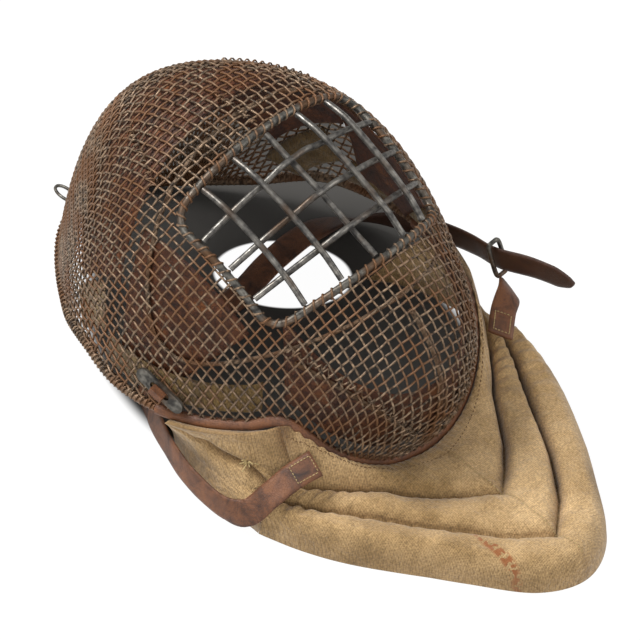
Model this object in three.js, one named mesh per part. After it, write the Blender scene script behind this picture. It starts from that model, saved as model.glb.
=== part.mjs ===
// Antique wire fencing mask, lying on the rim of its back opening with its padded bib spread in front.
// Millimetres. +Z is up, the crown is towards +Y, the bib's tip towards -Y, the wearer's right is -X.
import * as THREE from 'three';

// The wire cage: a rounded head form blended from a few flat faces round a centre point.
// Each row is a face: its name, how far its normal leans towards -Y and X, its height, its distance.
const CAGE_CENTRE = new THREE.Vector3(0, 90, 0);
const CAGE_ROUNDNESS = 3.8;
const CAGE_FACES = [
  // name, towards X (and mirrored), towards Y, towards Z, distance
  ['chin', 0, -0.82, -0.57, 109],
  ['window', 0, -0.425, 0.905, 158.5],
  ['forehead', 0, 0.64, 0.77, 188],
  ['crown', 0, 0.81, 0.585, 222],
  ['temple', 0.888, 0, 0.46, 158.5],
  ['jaw', 0.88, -0.475, 0, 113.5],
  ['nape', 0.8, 0.6, 0, 97],
  ['back', 0, 1, 0, 178],
];
const CAGE_WALL = 2.4;

// The rim of the back opening: angle round from the chin to the crown, and height above the table.
const RIM_HEIGHTS = [
  // angle, height
  [0, 19], [12, 21], [24, 35], [36, 54], [46, 46], [62, 38], [90, 30], [110, 27], [134, 12], [180, 2.2],
];
const RIM_WIRE_RADIUS = 2.2;
const PIPING_RADIUS = 3.4;
const PIPING_END_ANGLE = 74;
const PIPING_STOP_ANGLE = 73.4;
const RIM_INSET = 1.2;
const RIM_STEPS = 36;

// The window in angles seen from the centre: to the side, and in the sweep from chin to crown.
const WINDOW_SIDE_ANGLE = 26;
const WINDOW_LOW_ANGLE = 54.5;
const WINDOW_HIGH_ANGLE = 89.5;
const WINDOW_CORNER_ANGLE = 5;
const WINDOW_MM_PER_DEGREE = 2.25;
const FRAME_RADIUS = 2.1;
const BAR_RADIUS = 1.75;
const BAR_COLUMNS = 6;
const BAR_ROWS = 4;
const GAP = 0.4;

// The net: gaps along the window's foot, each side and top, and rings of gaps from window to rim.
const NET_FOOT_GAPS = 6;
const NET_SIDE_GAPS = 4;
const NET_TOP_GAPS = 8;
const NET_RINGS = 5;
const NET_STRIP = 0.24;
const NET_SEAM = 0.02;
const NET_LIFT = 2.4;
const NET_JAW_ANGLE = 44;
const NET_TEMPLE_ANGLE = 96;

const COLOURS = {
  mesh: 0x6e5a48,
  bar: 0x8b857c,
  leather: 0x7a4426,
  lining: 0x8a4a20,
  canvas: 0xa68d62,
  iron: 0x6f6d66,
};

const steel = new THREE.MeshStandardMaterial({ color: COLOURS.bar, roughness: 0.5, metalness: 0.9 });
const rustyWire = new THREE.MeshStandardMaterial({ color: COLOURS.mesh, roughness: 0.7, metalness: 0.6 });
const strapLeather = new THREE.MeshStandardMaterial({ color: COLOURS.leather, roughness: 0.6, metalness: 0 });
const liningLeather = new THREE.MeshStandardMaterial({ color: COLOURS.lining, roughness: 0.7, metalness: 0 });
const canvas = new THREE.MeshStandardMaterial({ color: COLOURS.canvas, roughness: 0.95, metalness: 0 });
const iron = new THREE.MeshStandardMaterial({ color: COLOURS.iron, roughness: 0.6, metalness: 0.8 });

const mask = new THREE.Group();
const vec = (x, y, z) => new THREE.Vector3(x, y, z);
const radians = THREE.MathUtils.degToRad;
const mix = THREE.MathUtils.lerp;

function addPiece(name, geometry, material) {
  const mesh = new THREE.Mesh(geometry, material);
  mesh.name = name;
  mask.add(mesh);
  return mesh;
}

// How far out a point lies, as a share of the cage's own surface in that direction.
function cageShare(point) {
  const p = point.clone().sub(CAGE_CENTRE);
  let sum = 0;
  for (const [, nx, ny, nz, distance] of CAGE_FACES) {
    for (const side of nx === 0 ? [1] : [-1, 1]) {
      const lean = Math.max(0, side * nx * p.x + ny * p.y + nz * p.z) / distance;
      sum += lean ** CAGE_ROUNDNESS;
    }
  }
  return sum ** (1 / CAGE_ROUNDNESS);
}

// The point of the cage seen from its centre in the direction of another point, moved in by a depth.
function onCage(point, depth = 0) {
  const out = point.clone().sub(CAGE_CENTRE);
  const radius = out.length() / cageShare(point);
  return out.setLength(radius - depth).add(CAGE_CENTRE);
}

// A point of the cage by its side angle and its sweep angle, chin 0 and crown 180.
function cageAt(side, sweep, depth = 0) {
  const s = radians(side);
  const w = radians(sweep);
  const out = vec(Math.sin(s), -Math.cos(s) * Math.cos(w), Math.cos(s) * Math.sin(w));
  return onCage(out.add(CAGE_CENTRE), depth);
}

// The point of the cage a share of the way round from one of its points to another.
function alongCage(from, to, share, depth = 0) {
  const a = from.clone().sub(CAGE_CENTRE).normalize();
  const b = to.clone().sub(CAGE_CENTRE).normalize();
  const angle = a.angleTo(b);
  const out = a.multiplyScalar(Math.sin((1 - share) * angle)).addScaledVector(b, Math.sin(share * angle));
  return onCage(out.add(CAGE_CENTRE), depth);
}

// Smooth reading of a two-column table.
function readTable(table, x) {
  const last = table.length - 1;
  let i = 0;
  while (i < last - 1 && x > table[i + 1][0]) i += 1;
  const slope = (k) => {
    const low = table[Math.max(0, k - 1)];
    const high = table[Math.min(last, k + 1)];
    return k === 0 || k === last ? 0 : (high[1] - low[1]) / (high[0] - low[0]);
  };
  const [x0, y0] = table[i];
  const [x1, y1] = table[i + 1];
  const t = (x - x0) / (x1 - x0);
  const step = x1 - x0;
  const rise = t * t * (3 - 2 * t);
  return mix(y0, y1, rise) + step * t * (1 - t) * ((1 - t) * slope(i) - t * slope(i + 1));
}

// A point of the rim by its angle round from the chin, moved in and up.
function rimAt(angle, depth = 0, lift = 0) {
  const height = readTable(RIM_HEIGHTS, Math.abs(angle)) + lift;
  const a = radians(angle);
  let near = 0;
  let far = 300;
  for (let i = 0; i < 40; i += 1) {
    const middle = (near + far) / 2;
    const point = vec(middle * Math.sin(a), CAGE_CENTRE.y - middle * Math.cos(a), height);
    if (cageShare(point) < 1) near = middle;
    else far = middle;
  }
  const reach = near - depth;
  return vec(reach * Math.sin(a), CAGE_CENTRE.y - reach * Math.cos(a), height);
}

// A closed body between an outer and an inner surface over a grid, with some cells left open.
function closedSheet({ columns, rows, ring = false, outer, inner, filled = () => true }) {
  const positions = [];
  const index = [];
  const width = ring ? columns : columns + 1;
  for (const surface of [outer, inner]) {
    for (let j = 0; j <= rows; j += 1) {
      for (let i = 0; i < width; i += 1) positions.push(...surface(i, j).toArray());
    }
  }
  const layer = width * (rows + 1);
  const at = (i, j, deep) => (deep ? layer : 0) + j * width + (ring ? (i + columns) % columns : i);
  const isOpen = (i, j) => {
    if (j < 0 || j >= rows) return true;
    if (!ring && (i < 0 || i >= columns)) return true;
    return !filled((i + columns) % columns, j);
  };
  const quad = (a, b, c, d) => index.push(a, b, c, a, c, d);
  for (let j = 0; j < rows; j += 1) {
    for (let i = 0; i < columns; i += 1) {
      if (isOpen(i, j)) continue;
      quad(at(i, j, 0), at(i + 1, j, 0), at(i + 1, j + 1, 0), at(i, j + 1, 0));
      quad(at(i, j, 1), at(i, j + 1, 1), at(i + 1, j + 1, 1), at(i + 1, j, 1));
      if (isOpen(i, j - 1)) quad(at(i, j, 1), at(i + 1, j, 1), at(i + 1, j, 0), at(i, j, 0));
      if (isOpen(i, j + 1)) quad(at(i, j + 1, 0), at(i + 1, j + 1, 0), at(i + 1, j + 1, 1), at(i, j + 1, 1));
      if (isOpen(i - 1, j)) quad(at(i, j, 0), at(i, j + 1, 0), at(i, j + 1, 1), at(i, j, 1));
      if (isOpen(i + 1, j)) quad(at(i + 1, j, 1), at(i + 1, j + 1, 1), at(i + 1, j + 1, 0), at(i + 1, j, 0));
    }
  }
  return outward(positions, index);
}

// A geometry from positions and triangles, turned so that its faces point out.
function outward(positions, index) {
  const corner = (k) => vec(...positions.slice(3 * k, 3 * k + 3));
  let volume = 0;
  for (let i = 0; i < index.length; i += 3) {
    volume += corner(index[i]).dot(corner(index[i + 1]).cross(corner(index[i + 2])));
  }
  if (volume < 0) {
    for (let i = 0; i < index.length; i += 3) [index[i + 1], index[i + 2]] = [index[i + 2], index[i + 1]];
  }
  const geometry = new THREE.BufferGeometry();
  geometry.setAttribute('position', new THREE.Float32BufferAttribute(positions, 3));
  geometry.setIndex(index);
  geometry.computeVertexNormals();
  return geometry;
}

// A section swept along points, its second axis turned towards a facing direction at each point.
function sweep({ points, section, facing, closed = false }) {
  const count = points.length;
  const sides = section.length;
  const positions = [];
  const index = [];
  for (let i = 0; i < count; i += 1) {
    const before = points[closed ? (i + count - 1) % count : Math.max(0, i - 1)];
    const after = points[closed ? (i + 1) % count : Math.min(count - 1, i + 1)];
    const along = after.clone().sub(before).normalize();
    const across = along.clone().cross(facing(i, along)).normalize();
    const up = across.clone().cross(along);
    for (const [x, y] of section) {
      positions.push(...points[i].clone().addScaledVector(across, x).addScaledVector(up, y).toArray());
    }
  }
  const spans = closed ? count : count - 1;
  for (let i = 0; i < spans; i += 1) {
    const here = i * sides;
    const next = ((i + 1) % count) * sides;
    for (let k = 0; k < sides; k += 1) {
      const l = (k + 1) % sides;
      index.push(here + k, here + l, next + l, here + k, next + l, next + k);
    }
  }
  if (!closed) {
    const end = (count - 1) * sides;
    for (let k = 1; k < sides - 1; k += 1) {
      index.push(0, k + 1, k, end, end + k, end + k + 1);
    }
  }
  return outward(positions, index);
}

const roundSection = (radius, sides = 6) =>
  Array.from({ length: sides }, (_, k) => {
    const a = (2 * Math.PI * k) / sides;
    return [radius * Math.cos(a), radius * Math.sin(a)];
  });
const flatSection = (width, thickness) => [
  [-width / 2, -thickness / 2], [width / 2, -thickness / 2],
  [width / 2, thickness / 2], [-width / 2, thickness / 2],
];
const awayFromCentre = (points) => (i) => points[i].clone().sub(CAGE_CENTRE);

// A round wire or cord along points.
function wire(points, radius, closed = false, sides = 6) {
  return sweep({ points, section: roundSection(radius, sides), facing: awayFromCentre(points), closed });
}

// The window's outline as side and sweep angles, from its foot's middle round by the wearer's left.
// An outset moves it out by degrees.
function windowOutline(t, outset = 0) {
  const halfWide = WINDOW_SIDE_ANGLE + outset;
  const low = WINDOW_LOW_ANGLE - outset;
  const high = WINDOW_HIGH_ANGLE + outset;
  const middle = (low + high) / 2;
  const halfHigh = (high - low) / 2;
  const a = 2 * Math.PI * t;
  const power = Math.max(Math.abs(Math.sin(a)), Math.abs(Math.cos(a)));
  const squareX = Math.sin(a) / power;
  const squareY = -Math.cos(a) / power;
  const roundX = halfWide - WINDOW_CORNER_ANGLE;
  const roundY = halfHigh - WINDOW_CORNER_ANGLE;
  const x = squareX * halfWide;
  const y = squareY * halfHigh;
  const overX = Math.max(0, Math.abs(x) - roundX);
  const overY = Math.max(0, Math.abs(y) - roundY);
  if (overX === 0 || overY === 0) return [x, middle + y];
  const over = Math.hypot(overX, overY);
  const reach = Math.max(overX, overY) / over;
  return [
    Math.sign(x) * (roundX + overX * reach),
    middle + Math.sign(y) * (roundY + overY * reach),
  ];
}

// Grid lines across a run of gaps: each strip takes one cell and each gap one or, halved, two.
function stripLines(gaps, start, end, seam, halved) {
  const pitch = (end - start) / gaps;
  const half = (pitch * NET_STRIP) / 2;
  const lines = [start + pitch * seam];
  for (let g = 0; g < gaps; g += 1) {
    const from = start + g * pitch;
    if (g > 0) lines.push(from - half);
    lines.push(from + half);
    if (halved) lines.push(from + pitch / 2);
  }
  lines.push(end - half, end - pitch * seam);
  return lines;
}

// The net's panels: share of the window's outline and rim angle at both ends, and gaps between.
const NET_PANELS = [
  // name, start share, end share, rim angle at start, rim angle at end, gaps, gaps halved
  ['chin', -0.125, 0.125, -NET_JAW_ANGLE, NET_JAW_ANGLE, NET_FOOT_GAPS, true],
  ['left', 0.125, 0.375, NET_JAW_ANGLE, NET_TEMPLE_ANGLE, NET_SIDE_GAPS, false],
  ['crown_left', 0.375, 0.5, NET_TEMPLE_ANGLE, 180, NET_TOP_GAPS / 2, true],
  ['crown_right', 0.5, 0.625, 180, 360 - NET_TEMPLE_ANGLE, NET_TOP_GAPS / 2, true],
  ['right', 0.625, 0.875, 360 - NET_TEMPLE_ANGLE, 360 - NET_JAW_ANGLE, NET_SIDE_GAPS, false],
];
const frameClear = (FRAME_RADIUS + GAP) / WINDOW_MM_PER_DEGREE;

for (const [name, from, to, rimFrom, rimTo, gaps, halved] of NET_PANELS) {
  const spokes = stripLines(gaps, 0, 1, NET_SEAM, halved);
  const stripEvery = halved ? 3 : 2;
  const rings = stripLines(NET_RINGS, 0, 1, 0, true);
  const point = (i, j, depth) => {
    const rim = mix(rimFrom, rimTo, spokes[i]);
    const inside = cageAt(...windowOutline(mix(from, to, spokes[i]), frameClear));
    const edge = rimAt(rim > 180 ? rim - 360 : rim, 0, PIPING_RADIUS + NET_LIFT);
    return alongCage(inside, edge, rings[j], depth);
  };
  const panel = closedSheet({
    columns: spokes.length - 1,
    rows: rings.length - 1,
    outer: (i, j) => point(i, j, 0),
    inner: (i, j) => point(i, j, CAGE_WALL),
    filled: (i, j) => i % stripEvery === 0 || j % 3 === 0,
  });
  addPiece(`cage_mesh_${name}`, panel, rustyWire);
}

// The rim rod, bare behind the jaw and cased in leather piping round the chin.
function rimPoints(from, to, count, depth) {
  return Array.from({ length: count + 1 }, (_, i) => {
    const angle = mix(from, to, i / count);
    return rimAt(angle > 180 ? angle - 360 : angle, depth);
  });
}
const bareRim = rimPoints(PIPING_END_ANGLE, 360 - PIPING_END_ANGLE, RIM_STEPS, RIM_INSET);
const casedRim = rimPoints(-PIPING_STOP_ANGLE, PIPING_STOP_ANGLE, RIM_STEPS, RIM_INSET);
addPiece('rim_wire', wire(bareRim, RIM_WIRE_RADIUS), iron);
addPiece('piping', wire(casedRim, PIPING_RADIUS), strapLeather);

// The window's frame and its woven bars.
function framePoints(count, depth) {
  return Array.from({ length: count }, (_, i) => cageAt(...windowOutline(i / count), depth));
}
const FRAME_DEPTH = CAGE_WALL / 2;
const FRAME_STEPS = 36;
addPiece('window_frame', wire(framePoints(FRAME_STEPS, FRAME_DEPTH), FRAME_RADIUS, true), steel);

const BAR_STEPS = 10;
const BAR_LIFT = BAR_RADIUS + GAP / 2;
const endInset = (FRAME_RADIUS + 1.5 * GAP) / WINDOW_MM_PER_DEGREE;
// The middle upright runs under the cross bars and the others over them.
for (let c = 1; c < BAR_COLUMNS; c += 1) {
  const side = mix(-WINDOW_SIDE_ANGLE, WINDOW_SIDE_ANGLE, c / BAR_COLUMNS);
  const over = c === BAR_COLUMNS / 2 ? -1 : 1;
  const points = Array.from({ length: BAR_STEPS + 1 }, (_, i) => {
    const t = i / BAR_STEPS;
    const lift = over * BAR_LIFT * Math.min(1, 6 * Math.min(t, 1 - t));
    const sweepAngle = mix(WINDOW_LOW_ANGLE + endInset, WINDOW_HIGH_ANGLE - endInset, t);
    return cageAt(side, sweepAngle, FRAME_DEPTH - lift);
  });
  addPiece(`window_bar_upright_${c}`, wire(points, BAR_RADIUS), steel);
}
for (let r = 1; r < BAR_ROWS; r += 1) {
  const sweepAngle = mix(WINDOW_LOW_ANGLE, WINDOW_HIGH_ANGLE, r / BAR_ROWS);
  const reach = WINDOW_SIDE_ANGLE - endInset;
  const points = Array.from({ length: 2 * BAR_STEPS + 1 }, (_, i) => {
    const t = i / (2 * BAR_STEPS);
    const side = mix(-reach, reach, t);
    const hump = Math.max(0, 1 - Math.abs(side) / (WINDOW_SIDE_ANGLE / 3));
    const rise = hump * hump * (3 - 2 * hump);
    const lift = (2 * Math.min(1, 1.6 * rise) - 1) * BAR_LIFT * Math.min(1, 10 * Math.min(t, 1 - t));
    return cageAt(side, sweepAngle, FRAME_DEPTH - lift);
  });
  addPiece(`window_bar_cross_${r}`, wire(points, BAR_RADIUS), steel);
}

// Stiffening ribs inside the net: a ring round the window, one rib down the chin and two darts.
const RIB_RADIUS = 1.3;
const RIB_STEPS = 8;
const RIB_SIDES = 5;
const RIB_CLEAR = 1;
const RIB_DEPTH = CAGE_WALL + RIB_RADIUS + RIB_CLEAR;
const RING_MIDDLE_ANGLE = 71.5;
const RING_HALF_WIDE = 50;
const RING_HALF_HIGH = 25;
const RING_STEPS = 36;
const ringPoints = Array.from({ length: RING_STEPS }, (_, i) => {
  const a = (2 * Math.PI * i) / RING_STEPS;
  const squared = (value) => Math.sign(value) * Math.abs(value) ** 0.85;
  const side = RING_HALF_WIDE * squared(Math.sin(a));
  return cageAt(side, RING_MIDDLE_ANGLE - RING_HALF_HIGH * squared(Math.cos(a)), RIB_DEPTH);
});
addPiece('ring_rib', wire(ringPoints, RIB_RADIUS, true, RIB_SIDES), rustyWire);

const CHIN_RIBS = [
  // name, side and sweep angle at the ring, side and sweep angle at the chin
  ['chin_rib', 0, 43.5, 0, 12],
  ['dart_rib_right', -25, 45, -6, 15],
  ['dart_rib_left', 25, 45, 6, 15],
];
for (const [name, side, sweepAngle, endSide, endSweep] of CHIN_RIBS) {
  const points = Array.from({ length: RIB_STEPS + 1 }, (_, i) => {
    const t = i / RIB_STEPS;
    return cageAt(mix(side, endSide, t), mix(sweepAngle, endSweep, t), RIB_DEPTH);
  });
  addPiece(name, wire(points, RIB_RADIUS, false, RIB_SIDES), rustyWire);
}

// Leather and canvas lining inside the net. The pads that cross the ribs lie behind them.
const LINING_CLEAR = 0.9;
const LINING_DEPTH = CAGE_WALL + LINING_CLEAR;
const BEHIND_RIBS = RIB_DEPTH + RIB_RADIUS + 1.5 * GAP;
const LINING_CELL_ANGLE = 7;
const LININGS = [
  // name, side angles, sweep angles, depth, thickness, material
  ['forehead_pad', -44, 44, 100, 136, LINING_DEPTH, 5, liningLeather],
  ['cheek_pad', 30, 62, 57, 97, BEHIND_RIBS, 3, liningLeather],
  ['nape_lining', 46, 59, 110, 147, LINING_DEPTH, 3, canvas],
];
for (const [name, sideFrom, sideTo, sweepFrom, sweepTo, depth, thick, material] of LININGS) {
  const columns = Math.ceil((sideTo - sideFrom) / LINING_CELL_ANGLE);
  const rows = Math.ceil((sweepTo - sweepFrom) / LINING_CELL_ANGLE);
  const hands = name === 'forehead_pad' ? [['', 1]] : [['_right', -1], ['_left', 1]];
  for (const [hand, sign] of hands) {
    const surface = (inward) => (i, j) =>
      cageAt(sign * mix(sideFrom, sideTo, i / columns), mix(sweepFrom, sweepTo, j / rows), inward);
    const pad = closedSheet({ columns, rows, outer: surface(depth), inner: surface(depth + thick) });
    addPiece(name + hand, pad, material);
  }
}

// Bands of lining that stand on the rim: how far round, how far up, how deep, how thick.
const RIM_LININGS = [
  // name, rim angles, lift of the lower and upper edge, depth, thickness, columns, rows, material
  ['chin_lining', -36, 36, 12, 56, BEHIND_RIBS, 2, 12, 4, liningLeather],
  ['side_lining_left', 42, 100, 8, 26, LINING_DEPTH, 2, 12, 2, canvas],
  ['side_lining_right', -100, -42, 8, 26, LINING_DEPTH, 2, 12, 2, canvas],
];
for (const [name, from, to, low, high, depth, thick, columns, rows, material] of RIM_LININGS) {
  const surface = (inward) => (i, j) =>
    onCage(rimAt(mix(from, to, i / columns), 0, mix(low, high, j / rows)), inward);
  const lining = closedSheet({ columns, rows, outer: surface(depth), inner: surface(depth + thick) });
  addPiece(name, lining, material);
}

// The bib: padded canvas quilted by two V channels, from the piping to its edge on the table.
const BIB_THICKNESS = 12;
const BIB_EDGE_HEIGHT = 6;
const BIB_TIP_SHIFT = 6;
const BIB_STATIONS = [
  // rim angle, inner channel x, y, outer channel x, y, edge x, y
  [0, 0, -94, 0, -133, 0, -157],
  [6, 15, -82, 20, -116, 26, -146],
  [12, 28, -70, 39, -92, 49, -116],
  [18, 40, -55, 52, -71, 69, -86],
  [24, 49, -43, 64, -52, 83, -62],
  [31, 60, -33, 76, -34, 92, -40],
  [38, 72, -20, 85, -18, 98, -17],
];
// Rows of the quilted top: which two lines it lies between, how far along, and its height.
const BIB_ROWS = [
  // from line, share, height above the table or below the piping
  [0, 0, 0], [0, 0.5, 3], [1, 0, 14], [1, 0.5, 20],
  [2, 0, 13], [2, 0.5, 18], [2, 0.85, 13], [3, 0, BIB_EDGE_HEIGHT],
];
const PIPING_CLEAR = PIPING_RADIUS + GAP - RIM_INSET;

function bibShift(y) {
  return BIB_TIP_SHIFT * THREE.MathUtils.clamp((-y - 20) / 80, 0, 1);
}

// The lines of the bib at a place along its table of stations: piping, two channels, edge.
function bibLines(station) {
  const size = Math.abs(station);
  const i = Math.min(BIB_STATIONS.length - 2, Math.floor(size));
  const row = BIB_STATIONS[i].map((value, k) => mix(value, BIB_STATIONS[i + 1][k], size - i));
  const hand = Math.sign(station);
  const top = rimAt(hand * row[0], -PIPING_CLEAR);
  const line = (k) => vec(hand * row[k] + bibShift(row[k + 1]), row[k + 1], 0);
  return [top, line(1), line(3), line(5)];
}

function bibTop(station, rowNumber) {
  const lines = bibLines(station);
  const [line, share, height] = BIB_ROWS[rowNumber];
  if (line === 3) return lines[3].setZ(height);
  const point = lines[line].clone().lerp(lines[line + 1], share);
  if (line > 0) return point.setZ(height);
  const channelHeight = BIB_ROWS[2][2];
  return point.setZ(mix(lines[0].z, channelHeight, share) + height);
}

// The underside of a padded sheet, flat on the table from a row outwards.
function padded(top, thickness, flatFrom) {
  return (i, j) => {
    const point = top(i, j);
    return point.setZ(j >= flatFrom ? 0 : Math.max(0, point.z - thickness));
  };
}

const BIB_COLUMNS = 26;
const BIB_FLAT_ROW = 2;
const bibSurface = (i, j) => bibTop(((2 * i) / BIB_COLUMNS - 1) * (BIB_STATIONS.length - 1), j);
addPiece('bib', closedSheet({
  columns: BIB_COLUMNS,
  rows: BIB_ROWS.length - 1,
  outer: bibSurface,
  inner: padded(bibSurface, BIB_THICKNESS, BIB_FLAT_ROW),
}), canvas);

// The canvas wings behind the bib, hanging from the piping at the jaw down to the table.
const WING_THICKNESS = 4;
const WING_STATIONS = [
  // rim angle, edge x, y
  [38.8, 93.5, -14],
  [44, 93, 18],
  [52, 87, 45],
  [60, 80, 59],
  [68, 72, 70],
];
const WING_BULGE = 1;
const WING_CLEAR = PIPING_CLEAR + 0.4;
const WING_COLUMNS = 12;
const WING_ROWS = 4;
for (const [name, hand] of [['bib_wing_right', -1], ['bib_wing_left', 1]]) {
  const surface = (out) => (i, j) => {
    const place = (i / WING_COLUMNS) * (WING_STATIONS.length - 1);
    const k = Math.min(WING_STATIONS.length - 2, Math.floor(place));
    const [angle, x, y] = WING_STATIONS[k].map((value, n) => mix(value, WING_STATIONS[k + 1][n], place - k));
    const t = j / WING_ROWS;
    const point = rimAt(hand * angle, -WING_CLEAR).lerp(vec(hand * x, y, 0), t);
    return point.setX(point.x + hand * (out + WING_BULGE * 4 * t * (1 - t)));
  };
  const wing = closedSheet({
    columns: WING_COLUMNS,
    rows: WING_ROWS,
    outer: surface(WING_THICKNESS),
    inner: surface(0),
  });
  addPiece(name, wing, canvas);
}

// Straps: a flat leather band along a smooth curve, with the way its face looks at each point.
function strap(table, width, thickness, steps) {
  const curve = new THREE.CatmullRomCurve3(table.map(([x, y, z]) => vec(x, y, z)), false, 'centripetal');
  const points = curve.getSpacedPoints(steps);
  const lengths = curve.getLengths(20 * (table.length - 1));
  const total = lengths[lengths.length - 1];
  const stops = table.map((_, k) => lengths[20 * k] / total);
  const facing = (i) => {
    const t = i / steps;
    let k = 0;
    while (k < stops.length - 2 && t > stops[k + 1]) k += 1;
    const share = THREE.MathUtils.clamp((t - stops[k]) / (stops[k + 1] - stops[k]), 0, 1);
    return vec(...table[k].slice(3)).lerp(vec(...table[k + 1].slice(3)), share);
  };
  return sweep({ points, section: flatSection(width, thickness), facing });
}

const STRAP_WIDTH = 15;
const STRAP_THICKNESS = 2;
const NECK_STRAP = [
  // x, y, z, facing x, y, z
  [-67, -26, 39.5, -0.5, -0.4, 1],
  [-79, -21, 33.5, -0.6, -0.2, 1],
  [-92, -17, 25, -0.8, 0, 1],
  [-101, -11, 14, -1, 0, 0.5],
  [-104, 2, 9, -1, 0, 0.1],
  [-102, 30, 8.5, -1, 0, 0.1],
  [-94, 55, 8.5, -1, 0.2, 0.1],
  [-82, 78, 8, -0.8, 0.5, 0.3],
  [-62, 97, 4.5, -0.3, 0.3, 1],
  [-30, 107, 1.5, 0, 0, 1],
  [10, 107, 1.5, 0, 0, 1],
  [46, 113, 1.5, 0, 0, 1],
  [74, 112, 3.5, 0.1, 0, 1],
  [94, 98, 8.5, 0.7, 0.3, 0.7],
  [104, 76, 17, 1, 0.1, 0.2],
  [107, 50, 28, 1, 0, 0.1],
  [105, 26, 39, 1, 0, 0.1],
  [102, 6, 47, 1, 0, 0.1],
  [107, -16, 53, 1, 0, 0.1],
  [112, -40, 56, 1, 0, 0.1],
];
const STRAP_STEPS = 54;
addPiece('neck_strap', strap(NECK_STRAP, STRAP_WIDTH, STRAP_THICKNESS, STRAP_STEPS), strapLeather);

const CHAPE = [
  // x, y, z, facing x, y, z
  [102, -2, 32, 1, 0, 0.4],
  [97, -8, 33.5, 0.8, 0, 0.7],
  [86, -15, 34.3, 0.5, 0, 1],
  [71, -27, 36.3, 0.3, -0.2, 1],
];
const CHAPE_WIDTH = 14;
const CHAPE_STEPS = 12;
addPiece('buckle_chape', strap(CHAPE, CHAPE_WIDTH, STRAP_THICKNESS, CHAPE_STEPS), strapLeather);

// The buckle: a wire frame that the strap runs through.
const BUCKLE_WIDE = 22;
const BUCKLE_DEEP = 8;
const BUCKLE_WIRE = 1.3;
const buckleMiddle = vec(102, 6, 47);
const buckleAlong = vec(0, -0.95, 0.3).normalize();
const buckleOut = vec(1, 0, 0.1).normalize();
const buckleAcross = buckleAlong.clone().cross(buckleOut);
const BUCKLE_CORNERS = 16;
const bucklePoints = Array.from({ length: BUCKLE_CORNERS }, (_, i) => {
  const a = (2 * Math.PI * i) / BUCKLE_CORNERS;
  const squared = (value) => Math.sign(value) * Math.abs(value) ** 0.4;
  return buckleMiddle.clone()
    .addScaledVector(buckleAcross, (BUCKLE_WIDE / 2) * squared(Math.cos(a)))
    .addScaledVector(buckleOut, (BUCKLE_DEEP / 2) * squared(Math.sin(a)));
});
addPiece('buckle', wire(bucklePoints, BUCKLE_WIRE, true), iron);

// Oblong plates on both sides of the cage, each with a leather tab standing through its slot.
const PLATE_LENGTH = 32;
const PLATE_WIDTH = 9.5;
const PLATE_THICKNESS = 1.6;
const PLATE_ARC_STEPS = 6;
const SLOT_LENGTH = 13;
const SLOT_WIDTH = 4.6;
const TAB_HEIGHT = 6;
const plateMiddle = vec(96, 60, 49);
const plateAlong = vec(0.05, 0.95, 0.32);

function stadium(path, length, width) {
  const half = (length - width) / 2;
  path.absarc(half, 0, width / 2, -Math.PI / 2, Math.PI / 2, false);
  path.absarc(-half, 0, width / 2, Math.PI / 2, (3 * Math.PI) / 2, false);
  path.closePath();
  return path;
}

for (const [hand, sign] of [['right', -1], ['left', 1]]) {
  const middle = onCage(vec(sign * plateMiddle.x, plateMiddle.y, plateMiddle.z));
  const nudge = (dx, dy, dz) => onCage(middle.clone().add(vec(dx, dy, dz)));
  const slopeA = nudge(0, 2, 0).sub(nudge(0, -2, 0));
  const slopeB = nudge(0, 0, 2).sub(nudge(0, 0, -2));
  const out = slopeA.cross(slopeB).normalize();
  if (out.x * sign < 0) out.negate();
  const along = vec(sign * plateAlong.x, plateAlong.y, plateAlong.z).projectOnPlane(out).normalize();
  const across = out.clone().cross(along);
  const turn = new THREE.Matrix4().makeBasis(along, across, out);
  const shape = stadium(new THREE.Shape(), PLATE_LENGTH, PLATE_WIDTH);
  shape.holes.push(stadium(new THREE.Path(), SLOT_LENGTH, SLOT_WIDTH));
  const plate = new THREE.ExtrudeGeometry(shape, {
    depth: PLATE_THICKNESS,
    bevelEnabled: false,
    curveSegments: PLATE_ARC_STEPS,
  });
  const seat = middle.clone().addScaledVector(out, GAP);
  const plateMesh = addPiece(`side_plate_${hand}`, plate, iron);
  plateMesh.setRotationFromMatrix(turn);
  plateMesh.position.copy(seat);
  const tab = new THREE.BoxGeometry(SLOT_LENGTH - SLOT_WIDTH, SLOT_WIDTH - 2 * GAP, TAB_HEIGHT);
  const tabMesh = addPiece(`plate_tab_${hand}`, tab, strapLeather);
  tabMesh.setRotationFromMatrix(turn);
  tabMesh.position.copy(seat).addScaledVector(out, TAB_HEIGHT / 2);
}

// The wire loop that hangs the mask up, at the back of the crown.
const LOOP_LENGTH = 15;
const LOOP_WIDTH = 7;
const LOOP_WIRE = 0.9;
const LOOP_ANGLE = -178.6;
const LOOP_STEPS = 16;
const LOOP_ROOT_SHARE = 0.85;
const LOOP_START = RIM_WIRE_RADIUS + LOOP_WIRE - GAP;
const loopRoot = rimAt(LOOP_ANGLE, RIM_INSET);
const loopPoints = Array.from({ length: LOOP_STEPS }, (_, i) => {
  const a = (2 * Math.PI * i) / LOOP_STEPS;
  const along = (1 - Math.cos(a)) / 2;
  return vec(
    loopRoot.x + (LOOP_WIDTH / 2) * Math.sin(a) * mix(LOOP_ROOT_SHARE, 1, along),
    loopRoot.y + LOOP_START + LOOP_LENGTH * along,
    loopRoot.z,
  );
});
addPiece('hanging_loop', wire(loopPoints, LOOP_WIRE, true), iron);

// The origin is under the middle of the whole mask, on the table.
const whole = new THREE.Box3().setFromObject(mask);
const middleOfAll = whole.getCenter(vec(0, 0, 0));
mask.position.set(-middleOfAll.x, -middleOfAll.y, -whole.min.z);

export default mask;
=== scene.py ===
import math

import bmesh
import bpy
import numpy as np
from mathutils import Matrix, Vector, noise
from mathutils.kdtree import KDTree


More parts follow.
